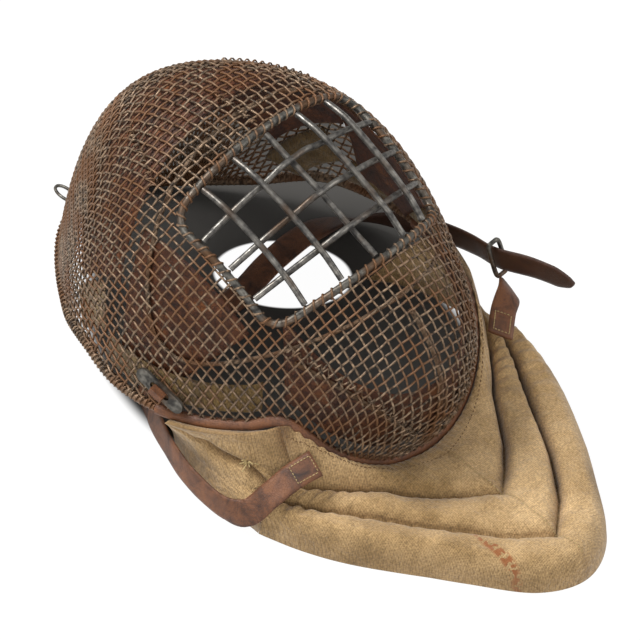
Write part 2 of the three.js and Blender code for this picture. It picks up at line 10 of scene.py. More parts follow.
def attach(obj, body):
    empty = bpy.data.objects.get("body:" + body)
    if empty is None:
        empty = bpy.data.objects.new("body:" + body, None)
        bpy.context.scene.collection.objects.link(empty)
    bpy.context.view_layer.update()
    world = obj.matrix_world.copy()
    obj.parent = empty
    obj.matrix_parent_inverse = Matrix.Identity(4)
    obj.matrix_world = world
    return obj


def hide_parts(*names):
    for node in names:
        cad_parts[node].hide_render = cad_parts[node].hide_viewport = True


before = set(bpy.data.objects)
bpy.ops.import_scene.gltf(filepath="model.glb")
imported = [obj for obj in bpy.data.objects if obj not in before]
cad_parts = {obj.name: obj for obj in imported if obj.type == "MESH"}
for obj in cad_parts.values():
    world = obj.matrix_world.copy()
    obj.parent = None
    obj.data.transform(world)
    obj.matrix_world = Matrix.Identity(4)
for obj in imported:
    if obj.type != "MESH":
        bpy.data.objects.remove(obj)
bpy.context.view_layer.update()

bl_info = {
    "name": "Fencing mask",
    "version": (1, 0, 0),
    "blender": (4, 5, 0),
    "location": "3D View > Sidebar > Mask",
    "description": "Builds the woven wire, quilted bib, leather and fittings of an antique fencing mask",
    "category": "Object",
}

# Millimetres, with the window's lower middle at x 0, y 0 and the table at z 0. Pieces are moved by
# FRAME_SHIFT and made metres when their mesh is written.
FRAME_SHIFT = np.array([-3.8194, -35.9037, 0.0])

# The cage is blended from flat faces round a centre: normal x, y, z and distance.
CENTRE = np.array([0.0, 90.0, 0.0])
ROUNDNESS = 3.8
MIDDLE_FACES = [
    (0, -0.82, -0.57, 109),
    (0, -0.425, 0.905, 158.5),
    (0, 0.64, 0.77, 188),
    (0, 0.81, 0.585, 222),
    (0, 1, 0, 178),
]
SIDE_FACES = [(0.888, 0, 0.46, 158.5), (0.88, -0.475, 0, 113.5), (0.8, 0.6, 0, 97)]
FACES = np.array(MIDDLE_FACES + SIDE_FACES + [(-x, y, z, d) for x, y, z, d in SIDE_FACES], dtype=float)
CAGE_WALL = 2.4

# The rim's height above the table by its angle round from the chin.
RIM_ANGLES = [0, 12, 24, 36, 46, 62, 90, 110, 134, 180]
RIM_HEIGHTS = [19, 21, 35, 54, 46, 38, 30, 27, 12, 2.2]
RIM_INSET = 1.2
RIM_REACH = 300.0
RIM_HALVINGS = 34
RIM_WIRE = 2.2
PIPING_RADIUS = 3.4
PIPING_STOP = 73.4
PIPING_END = 74
GAP = 0.4

WINDOW_SIDE = 26.0
WINDOW_LOW = 54.5
WINDOW_HIGH = 89.5
WINDOW_CORNER = 5.0
WINDOW_MM_PER_DEGREE = 2.25
FRAME_ROD = 2.1
BAR_ROD = 1.75
BAR_COLUMNS = 6
BAR_ROWS = 4

# The bib's stations, each a rim angle and x, y of the inner channel, the outer channel and the edge.
BIB_STATIONS = np.array([
    (0, 0, -94, 0, -133, 0, -157),
    (6, 15, -82, 20, -116, 26, -146),
    (12, 28, -70, 39, -92, 49, -116),
    (18, 40, -55, 52, -71, 69, -86),
    (24, 49, -43, 64, -52, 83, -62),
    (31, 60, -33, 76, -34, 92, -40),
    (38, 72, -20, 85, -18, 98, -17),
], dtype=float)
BIB_TIP_SHIFT = 6.0
PIPING_CLEAR = PIPING_RADIUS + GAP - RIM_INSET
CHANNEL_HEIGHT = 13.5
BIB_ENDS = 6

# A wing's stations, each a rim angle and x, y of its foot.
WING_STATIONS = np.array([
    (38.8, 93.5, -14), (44, 93, 18), (52, 87, 45), (60, 80, 59), (68, 72, 70),
], dtype=float)

# The neck strap's line, x, y, z, and the way its face looks, from its stitched end to its free tip.
NECK_STRAP = [
    (-67, -26, 39.5, -0.5, -0.4, 1), (-79, -21, 33.5, -0.6, -0.2, 1), (-92, -17, 25, -0.8, 0, 1),
    (-101, -11, 14, -1, 0, 0.5), (-104, 2, 9, -1, 0, 0.1), (-102, 30, 8.5, -1, 0, 0.1),
    (-94, 55, 8.5, -1, 0.2, 0.1), (-82, 78, 8, -0.8, 0.5, 0.3), (-62, 97, 4.5, -0.3, 0.3, 1),
    (-30, 107, 1.5, 0, 0, 1), (10, 107, 1.5, 0, 0, 1), (46, 113, 1.5, 0, 0, 1), (74, 112, 3.5, 0.1, 0, 1),
    (94, 98, 8.5, 0.7, 0.3, 0.7), (104, 76, 17, 1, 0.1, 0.2), (107, 50, 28, 1, 0, 0.1),
    (105, 26, 39, 1, 0, 0.1), (102, 6, 47, 1, 0, 0.1), (107, -16, 53, 1, 0, 0.1), (112, -40, 56, 1, 0, 0.1),
]
CHAPE = [
    (102, -2, 32, 1, 0, 0.4), (97, -8, 33.5, 0.8, 0, 0.7), (86, -15, 34.3, 0.5, 0, 1),
    (71, -27, 36.3, 0.3, -0.2, 1),
]

# The camera's own axes: right, up and back towards the lens.
CAMERA_RIGHT = Vector((0.69973, -0.71247, 0.05259))
CAMERA_UP = Vector((0.50554, 0.54582, 0.66821))
CAMERA_BACK = Vector((-0.50478, -0.44098, 0.74211))
CAMERA_DISTANCE = 12.0
VIEW_WIDTH = 0.335
SENSOR_WIDTH = 36.0


def length_property(name, description, default, least):
    return bpy.props.FloatProperty(
        name=name, description=description, default=default, min=least, unit="LENGTH")


class MaskSizes(bpy.types.PropertyGroup):
    """Sizes that a user would change."""

    wire_pitch: length_property("Wire pitch", "From wire to wire in the net", 0.0056, 0.004)
    wire_radius: length_property("Wire radius", "Half the net wire's thickness", 0.00062, 0.0003)
    bib_fill: bpy.props.FloatProperty(
        name="Bib fill", description="How tightly the bib is stuffed", default=0.6, min=0, max=1,
        subtype="FACTOR")
    stitch_length: length_property("Stitch length", "Length of one sewn stitch", 0.0026, 0.001)


class MaskColours(bpy.types.PropertyGroup):
    """Colours that a user would change, as linear values."""

    canvas: bpy.props.FloatVectorProperty(
        name="Canvas", description="Faded cotton canvas of the bib", size=3, subtype="COLOR",
        default=(0.45, 0.292, 0.130), min=0, max=1)
    leather: bpy.props.FloatVectorProperty(
        name="Leather", description="Piping and straps", size=3, subtype="COLOR",
        default=(0.165, 0.062, 0.024), min=0, max=1)


def linear(colour):
    """Linear RGBA of an sRGB hex colour, or of a colour that is linear already."""
    if not isinstance(colour, str):
        return (*colour[:3], 1.0)
    values = [int(colour[i:i + 2], 16) / 255 for i in (1, 3, 5)]
    return (*[v / 12.92 if v <= 0.04045 else ((v + 0.055) / 1.055) ** 2.4 for v in values], 1.0)


# Small sums.


def unit(v):
    return v / np.linalg.norm(v)


def clamp(value):
    """A value held between 0 and 1."""
    return min(1, max(0, value))


def ease(t):
    """A smooth rise from 0 to 1."""
    return t * t * (3 - 2 * t)


def bell(away, width):
    return math.exp(-(away / width) ** 2)


def fade(away, width):
    return math.exp(-away / width)


def bisect(low, high, inside, halvings):
    """The last place between two at which a test still holds."""
    for _ in range(halvings):
        middle = (low + high) / 2
        if inside(middle):
            low = middle
        else:
            high = middle
    return low


def read_columns(table, where, columns):
    """Columns of a table of stations, read between its rows."""
    return [np.interp(where, np.arange(len(table)), table[:, c]) for c in columns]


def distances(points):
    """How far along a line each of its points lies."""
    steps = np.linalg.norm(np.diff(points[:, :3], axis=0), axis=1)
    return np.concatenate([[0], np.cumsum(steps)])


def read_line(points, at, s):
    """A line's values at a distance along it."""
    return np.array([np.interp(s, at, points[:, axis]) for axis in range(points.shape[1])])


# Geometry of the cage.


def cage_share(points):
    """How far out points lie, as a share of the cage's own surface in their direction."""
    lean = np.maximum(0, (points - CENTRE) @ FACES[:, :3].T) / FACES[:, 3]
    return (lean ** ROUNDNESS).sum(-1) ** (1 / ROUNDNESS)


def on_cage(points, depth=0.0):
    """The cage's points seen from its centre in the direction of other points, moved in by a depth."""
    out = np.asarray(points, dtype=float) - CENTRE
    size = np.linalg.norm(out, axis=-1, keepdims=True)
    radius = size / cage_share(out + CENTRE)[..., None]
    return CENTRE + out / size * (radius - depth)


def cage_at(side, sweep, depth=0.0):
    """A point of the cage by its side angle and its sweep from chin 0 to crown 180."""
    s, w = math.radians(side), math.radians(sweep)
    out = np.array([math.sin(s), -math.cos(s) * math.cos(w), math.cos(s) * math.sin(w)])
    return on_cage(CENTRE + out, depth)


def cage_angles(point):
    """The side and sweep angles of a point."""
    out = (point - CENTRE) / np.linalg.norm(point - CENTRE)
    return math.degrees(math.asin(out[0])), math.degrees(math.atan2(out[2], -out[1]))


def read_table(xs, ys, x):
    """Smooth reading of a table."""
    last = len(xs) - 1
    i = 0
    while i < last - 1 and x > xs[i + 1]:
        i += 1

    def slope(k):
        if k in (0, last):
            return 0.0
        return (ys[k + 1] - ys[k - 1]) / (xs[k + 1] - xs[k - 1])

    step = xs[i + 1] - xs[i]
    t = (x - xs[i]) / step
    lean = (1 - t) * slope(i) - t * slope(i + 1)
    return ys[i] + (ys[i + 1] - ys[i]) * ease(t) + step * t * (1 - t) * lean


def rim_height(angle):
    return read_table(RIM_ANGLES, RIM_HEIGHTS, abs(angle))


def rim_at(angle, depth=0.0, lift=0.0):
    """A point of the rim by its angle round from the chin, moved in and up."""
    height = rim_height(angle) + lift
    a = math.radians(angle)

    def out(reach):
        return np.array([reach * math.sin(a), CENTRE[1] - reach * math.cos(a), height])

    return out(bisect(0.0, RIM_REACH, lambda reach: cage_share(out(reach)) < 1, RIM_HALVINGS) - depth)


def window_outline(t, outset=0.0):
    """The window's outline as side and sweep angles, from its foot's middle."""
    low, high = WINDOW_LOW - outset, WINDOW_HIGH + outset
    half_wide, half_high, middle = WINDOW_SIDE + outset, (high - low) / 2, (low + high) / 2
    a = 2 * math.pi * t
    power = max(abs(math.sin(a)), abs(math.cos(a)))
    x, y = math.sin(a) / power * half_wide, -math.cos(a) / power * half_high
    round_x, round_y = half_wide - WINDOW_CORNER, half_high - WINDOW_CORNER
    over_x, over_y = max(0, abs(x) - round_x), max(0, abs(y) - round_y)
    if over_x == 0 or over_y == 0:
        return x, middle + y
    reach = max(over_x, over_y) / math.hypot(over_x, over_y)
    return (math.copysign(round_x + over_x * reach, x), middle + math.copysign(round_y + over_y * reach, y))


def to_row(points):
    """Millimetres of the mask to metres of the frame."""
    return (np.asarray(points, dtype=float) + FRAME_SHIFT) / 1000


# Making pieces.

MATERIALS = {}


def add_object(name, data):
    """A new object in the scene."""
    made = bpy.data.objects.new(name, data)
    bpy.context.collection.objects.link(made)
    return made


def dress(piece, material):
    """Gives a piece or a CAD node its material."""
    piece.data.materials.clear()
    piece.data.materials.append(MATERIALS[material])


def finish_piece(piece, material, slot, replaces=()):
    """Gives a piece its material, its body and the nodes that it stands for."""
    dress(piece, material)
    for polygon in piece.data.polygons:
        polygon.use_smooth = True
    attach(piece, "root")
    if replaces:
        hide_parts(*replaces)
    return piece


def wires(name, lines, radius, resolution, material, slot, replaces=()):
    """A mesh piece of round wires. Each line is its points and whether it is closed."""
    curve = bpy.data.curves.new(name, "CURVE")
    curve.dimensions = "3D"
    curve.bevel_depth = radius / 1000
    curve.bevel_resolution = resolution
    curve.use_fill_caps = True
    for points, closed in lines:
        spline = curve.splines.new("POLY")
        spline.points.add(len(points) - 1)
        row = to_row(points)
        spline.points.foreach_set("co", np.hstack([row, np.ones((len(row), 1))]).ravel())
        spline.use_cyclic_u = closed
        spline.use_smooth = True
    bent = add_object(name, curve)
    mesh = bpy.data.meshes.new_from_object(bent.evaluated_get(bpy.context.evaluated_depsgraph_get()))
    bpy.data.objects.remove(bent)
    bpy.data.curves.remove(curve)
    return finish_piece(add_object(name, mesh), material, slot, replaces)


def mesh_object(name, bm):
    """A mesh object of what a bmesh holds."""
    mesh = bpy.data.meshes.new(name)
    bm.to_mesh(mesh)
    bm.free()
    return add_object(name, mesh)


def closed_pad(name, across, along, top, bottom, seam):
    """A closed pad between a top and a bottom sheet, with the share of seam at each point."""
    bm = bmesh.new()
    bmesh.ops.create_grid(bm, x_segments=across, y_segments=along, size=0.5)
    layer = bm.verts.layers.float.new("seam")
    shares = [(v.co.x + 0.5, v.co.y + 0.5) for v in bm.verts]
    upper = list(bm.verts)
    copy = bmesh.ops.duplicate(bm, geom=list(bm.verts) + list(bm.edges) + list(bm.faces))
    lower = [copy["vert_map"][v] for v in upper]
    edges = [e for e in bm.edges if e.is_boundary]
    for vert, twin, (u, v) in zip(upper, lower, shares):
        vert.co = Vector(to_row(top(u, v)))
        twin.co = Vector(to_row(bottom(u, v)))
        vert[layer] = twin[layer] = seam(u, v)
    bmesh.ops.bridge_loops(bm, edges=edges)
    bmesh.ops.recalc_face_normals(bm, faces=bm.faces)
    return mesh_object(name, bm)


# The air that fills a pad: it blows for so many frames, and what lies this low rests on the table.
AIR_FRAMES = 20
AIR_PRESSURE = 4.0
AIR_MASS = 0.4
AIR_QUALITY = 5
TABLE_REST = 0.003
NEAR_POINTS = 4


def search_tree(points):
    made = KDTree(len(points))
    for k, point in enumerate(points):
        made.insert(point, k)
    made.balance()
    return made


def stuffed(piece, voxel, reach):
    """Fills a pad as cloth that is held along its seams and where it lies on the table."""
    count = len(piece.data.vertices)
    points = np.empty(count * 3)
    piece.data.vertices.foreach_get("co", points)
    points = points.reshape(-1, 3)
    seam = np.empty(count)
    piece.data.attributes["seam"].data.foreach_get("value", seam)
    air = add_object(piece.name + "_air", piece.data.copy())
    remesh = air.modifiers.new("remesh", "REMESH")
    remesh.mode = "VOXEL"
    remesh.voxel_size = voxel
    coarse = bpy.data.meshes.new_from_object(air.evaluated_get(bpy.context.evaluated_depsgraph_get()))
    air.modifiers.clear()
    air.data = coarse
    rest = np.array([v.co for v in coarse.vertices])
    near = search_tree(points)
    held = air.vertex_groups.new(name="held")
    for k, point in enumerate(rest):
        along_seam = seam[near.find(point)[1]]
        held.add([k], 1.0 if point[2] < TABLE_REST else min(1.0, along_seam * 2), "REPLACE")
    cloth = air.modifiers.new("cloth", "CLOTH")
    cloth.settings.quality = AIR_QUALITY
    cloth.settings.mass = AIR_MASS
    cloth.settings.use_pressure = True
    cloth.settings.uniform_pressure_force = AIR_PRESSURE
    cloth.settings.effector_weights.gravity = 0
    cloth.settings.vertex_group_mass = "held"
    cloth.point_cache.frame_end = AIR_FRAMES
    for number in range(1, AIR_FRAMES + 1):
        bpy.context.scene.frame_set(number)
    blown = air.evaluated_get(bpy.context.evaluated_depsgraph_get()).to_mesh()
    moved = np.array([v.co for v in blown.vertices]) - rest
    size = np.linalg.norm(moved, axis=1, keepdims=True)
    moved *= np.minimum(1, reach / np.maximum(size, 1e-9))
    around = search_tree(rest)
    for k, point in enumerate(points):
        found = around.find_n(point, NEAR_POINTS)
        weights = np.array([1 / (away + 0.001) for _, _, away in found])
        move = (moved[[i for _, i, _ in found]] * weights[:, None]).sum(0) / weights.sum()
        points[k] += move * (1 - seam[k])
        points[k, 2] = max(points[k, 2], 0.0)
    piece.data.vertices.foreach_set("co", points.ravel())
    piece.data.update()
    bpy.data.objects.remove(air)
    bpy.context.scene.frame_set(1)


# A stitch takes this share of its length, and dips in at its ends.
STITCH_SHARE = 0.6
STITCH_DIPS = (-0.35, 0.25, 0.25, -0.35)
THREAD_RADIUS = 0.28
COIL_STEPS = 8
UP = np.array([0.0, 0.0, 1.0])


def stitch_lines(points, length, out=UP):
    """Short sewn stitches along a line."""
    points = np.asarray(points, dtype=float)
    at = distances(points)
    return [([read_line(points, at, start + length * STITCH_SHARE * k / 3) + unit(out) * dip
              for k, dip in enumerate(STITCH_DIPS)], False)
            for start in np.arange(length * 0.3, at[-1] - length * STITCH_SHARE, length)]


def coil(points, radius, pitch, closed=False):
    """A wire wound round a line."""
    points = np.asarray(points, dtype=float)
    if closed:
        points = np.vstack([points, points[:1]])
    at = distances(points)
    count = max(1, round(at[-1] / pitch)) * COIL_STEPS
    made = []
    for k in range(count + (0 if closed else 1)):
        s = at[-1] * k / count
        here = read_line(points, at, s)
        along = unit(read_line(points, at, min(s + 1, at[-1])) - read_line(points, at, max(s - 1, 0)))
        side = unit(np.cross(along, here - CENTRE))
        up = np.cross(side, along)
        a = 2 * math.pi * k / COIL_STEPS
        made.append(here + radius * (math.cos(a) * side + math.sin(a) * up))
    return made, closed


def catmull(table, steps):
    """Points and facings along a smooth centripetal curve through a table."""
    def between(a, b, ta, tb):
        return (tb - t) / (tb - ta) * a + (t - ta) / (tb - ta) * b

    control = np.array(table, dtype=float)
    p = control[:, :3]
    p = np.vstack([2 * p[0] - p[1], p, 2 * p[-1] - p[-2]])
    made = []
    for k in range(1, len(p) - 2):
        p0, p1, p2, p3 = p[k - 1:k + 3]
        t0, t1 = 0.0, np.linalg.norm(p1 - p0) ** 0.5
        t2 = t1 + np.linalg.norm(p2 - p1) ** 0.5
        t3 = t2 + np.linalg.norm(p3 - p2) ** 0.5
        for s in np.linspace(0, 1, 20, endpoint=False):
            t = t1 + s * (t2 - t1)
            a1, a2, a3 = between(p0, p1, t0, t1), between(p1, p2, t1, t2), between(p2, p3, t2, t3)
            b1, b2 = between(a1, a2, t0, t2), between(a2, a3, t1, t3)
            facing = (1 - s) * control[k - 1, 3:] + s * control[k, 3:]
            made.append(np.concatenate([between(b1, b2, t1, t2), facing]))
    made = np.array(made + [control[-1]])
    at = distances(made)
    return np.array([read_line(made, at, s) for s in np.linspace(0, at[-1], steps + 1)])


def band(name, table, width, thickness, steps, taper=0.0):
    """A flat leather band with rounded edges along a table. taper points its far end."""
    line = catmull(table, steps)
    length = np.linalg.norm(np.diff(line[:, :3], axis=0), axis=1).sum()

    def frame_at(u):
        s = u * steps
        i = int(min(steps - 1, max(0, math.floor(s))))
        here = line[i] + (line[i + 1] - line[i]) * (s - i)
        along = unit(line[min(steps, i + 2), :3] - line[max(0, i - 1), :3])
        across = unit(np.cross(along, here[3:]))
        return here[:3], across, np.cross(across, along)

    def sheet(sign):
        def place(u, v):
            here, across, up = frame_at(u)
            left = (1 - u) * length
            wide = width * (1 if taper == 0 else min(1, 0.12 + 0.88 * math.sqrt(max(0, left) / taper)))
            edge = 1 - abs(2 * v - 1) ** 6 * 0.55
            worn = noise.noise(Vector(here * 0.11)) * 0.35
            return here + across * (v - 0.5) * (wide + worn) + up * sign * thickness / 2 * edge

        return place

    return closed_pad(name, steps, 8, sheet(1), sheet(-1), lambda u, v: abs(2 * v - 1))


# Materials.


WHITE, BLACK = (1, 1, 1), (0, 0, 0)


def feed(tree, node, inputs):
    """Sets a node's inputs, each to a value or to a node and the name of its output."""
    for key, value in inputs.items():
        if isinstance(value, tuple) and isinstance(value[0], bpy.types.Node):
            tree.links.new(value[0].outputs[value[1]], node.inputs[key])
        else:
            node.inputs[key].default_value = value


def put(tree, kind, inputs, **settings):
    """Adds a node with its settings and inputs."""
    made = tree.nodes.new("ShaderNode" + kind)
    for key, value in settings.items():
        setattr(made, key, value)
    feed(tree, made, inputs)
    return made


def ramp(tree, source, *stops):
    """A colour ramp fed by a value."""
    made = put(tree, "ValToRGB", {"Fac": source})
    elements = made.color_ramp.elements
    while len(elements) < len(stops):
        elements.new(0.5)
    for element, (place, colour) in zip(elements, stops):
        element.position = place
        element.color = linear(colour)
    return made


def cloud(tree, place, scale, detail, **more):
    return put(tree, "TexNoise", {"Vector": place, "Scale": scale, "Detail": detail, **more})


def relief(tree, height, strength, distance, **more):
    return put(tree, "Bump", {"Height": height, "Strength": strength, "Distance": distance, **more})


def combine(tree, operation, first, second):
    return put(tree, "Math", {0: first, 1: second}, operation=operation)


def mix_colour(tree, share, first, second, blend="MIX"):
    return put(tree, "Mix", {0: share, 6: first, 7: second}, data_type="RGBA", blend_type=blend)


def surface(name):
    """A new material, with its tree, its shader and its coordinates."""
    made = bpy.data.materials.new(name)
    made.use_nodes = True
    tree = made.node_tree
    tree.nodes.clear()
    shader = put(tree, "BsdfPrincipled", {})
    put(tree, "OutputMaterial", {"Surface": (shader, "BSDF")})
    return made, tree, shader, (put(tree, "TexCoord", {}), "Object")


def metal(name, dark, light, rust, metallic, roughness, rust_share, grain):
    """Old iron or steel: grey where it is rubbed, dark in its skin, with rust in patches."""
    made, tree, shader, place = surface(name)
    # One patch of skin is some 20 mm wide, and its grain well under 1 mm.
    patches = cloud(tree, place, 55.0, 5.0)
    speckle = cloud(tree, place, grain, 3.0)
    skin = ramp(tree, (speckle, "Fac"), (0.35, dark), (0.68, light))
    rusty = ramp(tree, (patches, "Fac"), (rust_share, WHITE), (rust_share + 0.16, BLACK))
    colour = mix_colour(tree, (rusty, "Color"), (skin, "Color"), linear(rust))
    rough = put(tree, "MapRange", {
        "Value": (speckle, "Fac"), "From Min": 0.3, "From Max": 0.7, "To Min": roughness + 0.12,
        "To Max": roughness - 0.08})
    bump = relief(tree, (speckle, "Fac"), 0.25, 0.0003)
    feed(tree, shader, {"Base Color": (colour, 2), "Roughness": (rough, 0), "Metallic": metallic,
                        "Normal": (bump, 0)})
    return made


def leather(name, base, dark, pale, crackle, roughness, cracked):
    """Vegetable-tanned leather: a fine grain, darker handling marks and pale cracks where it bends, with
    painted shade where a piece carries it in an attribute.
    """
    made, tree, shader, place = surface(name)
    marks = cloud(tree, place, 90.0, 8.0, Roughness=0.68, Distortion=0.6)
    grain = put(tree, "TexVoronoi", {"Vector": place, "Scale": crackle}, feature="DISTANCE_TO_EDGE")
    pores = cloud(tree, place, 1500.0, 2.0)
    body = ramp(tree, (marks, "Fac"), (0.3, dark), (0.55, base), (0.78, pale))
    crack = ramp(tree, (grain, "Distance"), (0.0, WHITE), (0.07, BLACK))
    depth = combine(tree, "MULTIPLY", (crack, "Color"), cracked)
    cracks = mix_colour(tree, (depth, 0), (body, "Color"), linear(dark))
    # Painted shade: the strap darkens over the mask's far side, towards its free tip.
    far_side_shade = put(tree, "Attribute", {}, attribute_name="far_side_shade")
    colour = mix_colour(tree, (far_side_shade, "Fac"), (cracks, 2), linear(dark))
    height = combine(tree, "SUBTRACT", (pores, "Fac"), (depth, 0))
    bump = relief(tree, (height, 0), 0.5, 0.0004)
    feed(tree, shader, {"Base Color": (colour, 2), "Roughness": roughness, "IOR": 1.48, "Normal": (bump, 0)})
    return made


# The threads lie 0.5 mm apart, drawn 1 mm apart so that they show.
WEAVE_SCALE = 314.0


def cotton_canvas(name, base, soil, pale, stain=None):
    """Cotton duck: a plain weave, faded on its crowns and darkened by its seam attribute, as dirt and as
    painted shade, with old marks.
    """
    made, tree, shader, place = surface(name)
    thread = {"Vector": place, "Scale": WEAVE_SCALE, "Distortion": 1.0, "Detail": 1.0}
    warp, weft = (put(tree, "TexWave", thread, bands_direction=way) for way in "XY")
    weave = combine(tree, "MAXIMUM", (warp, "Fac"), (weft, "Fac"))
    fade_marks = cloud(tree, place, 22.0, 7.0, Roughness=0.62)
    slub = cloud(tree, place, 900.0, 2.0)
    body = ramp(tree, (fade_marks, "Fac"), (0.33, soil), (0.5, base), (0.68, pale))
    threads = ramp(tree, (slub, "Fac"), (0.3, (0.62, 0.60, 0.56)), (0.7, (1.12, 1.12, 1.12)))
    worn = mix_colour(tree, 1.0, (body, "Color"), (threads, "Color"), "MULTIPLY")
    grid = ramp(tree, (weave, 0), (0.3, (0.8, 0.78, 0.74)), (0.8, (1.05, 1.05, 1.05)))
    cloth = mix_colour(tree, 1.0, (worn, 2), (grid, "Color"), "MULTIPLY")
    # The seam attribute darkens the cloth: dirt at seams and edges, and painted shade in channels, folds and
    # under the piping.
    seam = put(tree, "Attribute", {}, attribute_name="seam")
    dirt_and_shade = ramp(tree, (seam, "Fac"), (0.0, WHITE), (1.0, (0.34, 0.27, 0.19)))
    colour = mix_colour(tree, 1.0, (cloth, 2), (dirt_and_shade, "Color"), "MULTIPLY")
    if stain:
        colour = stained(tree, place, colour, stain)
    # Creases of the worn cloth some 8 mm apart, under its weave.
    rumple = cloud(tree, place, 130.0, 5.0, Roughness=0.6, Distortion=0.5)
    folds = relief(tree, (rumple, "Fac"), 0.8, 0.0024)
    bump = relief(tree, (weave, 0), 0.5, 0.0004, Normal=(folds, "Normal"))
    feed(tree, shader, {"Base Color": (colour, 2), "Roughness": 0.92, "Sheen Weight": 0.25,
                        "Sheen Roughness": 0.5, "Normal": (bump, 0)})
    return made


def stained(tree, place, colour, stain):
    """Rust-red spots in a short streak, from one end of it to the other, in millimetres of the mask."""
    start, end = (to_row((*p, 0)) for p in stain)
    middle, half = (start + end) / 2, np.linalg.norm(end - start) / 2
    angle = math.atan2(end[1] - start[1], end[0] - start[0])
    here = put(tree, "Mapping", {
        "Vector": place, "Location": (middle[0], middle[1], 0.0), "Rotation": (0.0, 0.0, angle),
        "Scale": (half * 1.15, 0.0034, 1.0)}, vector_type="TEXTURE")
    flat = put(tree, "VectorMath", {0: (here, "Vector"), 1: (1.0, 1.0, 0.0)}, operation="MULTIPLY")
    away = put(tree, "VectorMath", {0: (flat, "Vector")}, operation="LENGTH")
    near = ramp(tree, (away, "Value"), (0.6, WHITE), (1.0, BLACK))
    spots = cloud(tree, place, 330.0, 1.0)
    dots = ramp(tree, (spots, "Fac"), (0.47, BLACK), (0.53, WHITE))
    both = combine(tree, "MULTIPLY", (near, "Color"), (dots, "Color"))
    share = combine(tree, "MULTIPLY", (both, 0), 0.85)
    return mix_colour(tree, (share, 0), (colour, 2), linear("#8A4A1C"))


def plain_thread(name, dark, pale):
    """Waxed linen thread, matt and a little lighter than the cloth."""
    made, tree, shader, place = surface(name)
    fuzz = cloud(tree, place, 800.0, 2.0)
    tint = ramp(tree, (fuzz, "Fac"), (0.3, dark), (0.7, pale))
    feed(tree, shader, {"Base Color": (tint, 0), "Roughness": 0.85})
    return made


def make_materials():
    colours = bpy.context.scene.mask_colours
    MATERIALS.update({
        # Drawn iron wire, woven and long rusted: brown with grey on the rubbed crowns.
        "net": metal("rusted_iron_wire", "#33281E", "#9A8066", "#6E4C30", 0.35, 0.52, 0.4, 420.0),
        # Mild steel rod, dull grey skin with bright rubbed places.
        "bar": metal("worn_steel_rod", "#474543", "#87837C", "#57483C", 0.85, 0.42, 0.33, 260.0),
        # Wrought iron, nearly black.
        "iron": metal("dark_iron", "#3A3835", "#77736B", "#5C4532", 0.8, 0.5, 0.36, 300.0),
        # Calf piping and strap leather, waxed by handling.
        "strap": leather("waxed_strap_leather", tuple(colours.leather), "#2A150A", "#85552F",
                         620.0, 0.55, 0.5),
        # Sheepskin lining, dry and cracked, its brown made darker as painted shade for the inside of the
        # mask.
        "lining": leather("cracked_lining_leather", "#5A3016", "#1E0E07", "#8C5426", 260.0, 0.62, 0.7),
        # Cotton duck of the bib, sun-faded, with its rust stain.
        "canvas": cotton_canvas("cotton_canvas", tuple(colours.canvas), "#86693D", "#CFAE7F",
                                stain=((-27, -103), (-27, -141))),
        # The same duck inside the net, a darker copy that is painted shade for the inside of the mask.
        "shaded_canvas_lining": cotton_canvas("shaded_cotton_lining", "#7C6236", "#4A3A1C", "#9C7F48"),
        # Linen sewing thread, natural and dyed.
        "thread": plain_thread("linen_thread", "#8E7A50", "#BDA878"),
        "thread_dark": plain_thread("dark_thread", "#4A3320", "#7A5A38"),
    })


# The net.

# The weave is laid out from its middle at START_SWEEP: so many wires each way, down to a height
# below the table, and until its cells are sheared nearly flat.
NET_LIMIT = 54
NET_LOWEST = -14
NET_LEAST_SHEAR = 0.14
NET_ROUNDS = 12
NET_PULL = 0.55
START_SWEEP = 72.0
SEED_REACH = 12
SEED_HALVINGS = 26
CUT_HALVINGS = 8
WIRE_DEPTH = 0.9
NET_PANELS = ("cage_mesh_chin", "cage_mesh_left", "cage_mesh_crown_left", "cage_mesh_crown_right",
              "cage_mesh_right")

# The lashed darts, each a side and sweep angle at both ends.
DARTS = [((0, 91.5), (0, 103)), ((-22.5, 98), (-13, 115)), ((22.5, 98), (13, 115)),
         ((-25, 49), (-6.6, 17)), ((25, 49), (6.6, 17))]


def seed(step_to, pitch):
    """Points an equal pitch apart along a line given by an angle."""
    angle, made = 0.0, [step_to(0.0)]
    for _ in range(NET_LIMIT):
        angle = bisect(angle, angle + SEED_REACH, lambda a: np.linalg.norm(step_to(a) - made[-1]) < pitch,
                       SEED_HALVINGS)
        made.append(step_to(angle))
    return made


def woven_net(pitch):
    """Crossings of a flat weave formed over the cage: each lies one pitch from two neighbours."""
    net = {(i, 0): p for i, p in enumerate(seed(lambda a: cage_at(a, START_SWEEP), pitch))}
    for way in (-1, 1):
        for j, p in enumerate(seed(lambda a: cage_at(0, START_SWEEP + way * a), pitch)):
            net[0, j * way] = p
        for i in range(1, NET_LIMIT):
            for j in range(1, NET_LIMIT):
                before, beside = net.get((i - 1, j * way)), net.get((i, (j - 1) * way))
                corner = net.get((i - 1, (j - 1) * way))
                if before is None or beside is None or corner is None:
                    continue
                if (np.linalg.norm(before - beside) < NET_LEAST_SHEAR * pitch
                        or min(before[2], beside[2]) < NET_LOWEST):
                    continue
                p = before + beside - corner
                for _ in range(NET_ROUNDS):
                    p = on_cage(p)
                    a, b = p - before, p - beside
                    la, lb = np.linalg.norm(a), np.linalg.norm(b)
                    p = p + NET_PULL * ((pitch - la) * a / la + (pitch - lb) * b / lb)
                net[i, j * way] = on_cage(p)
    for (i, j), p in list(net.items()):
        if i:
            net[-i, j] = p * np.array([-1, 1, 1])
    return net


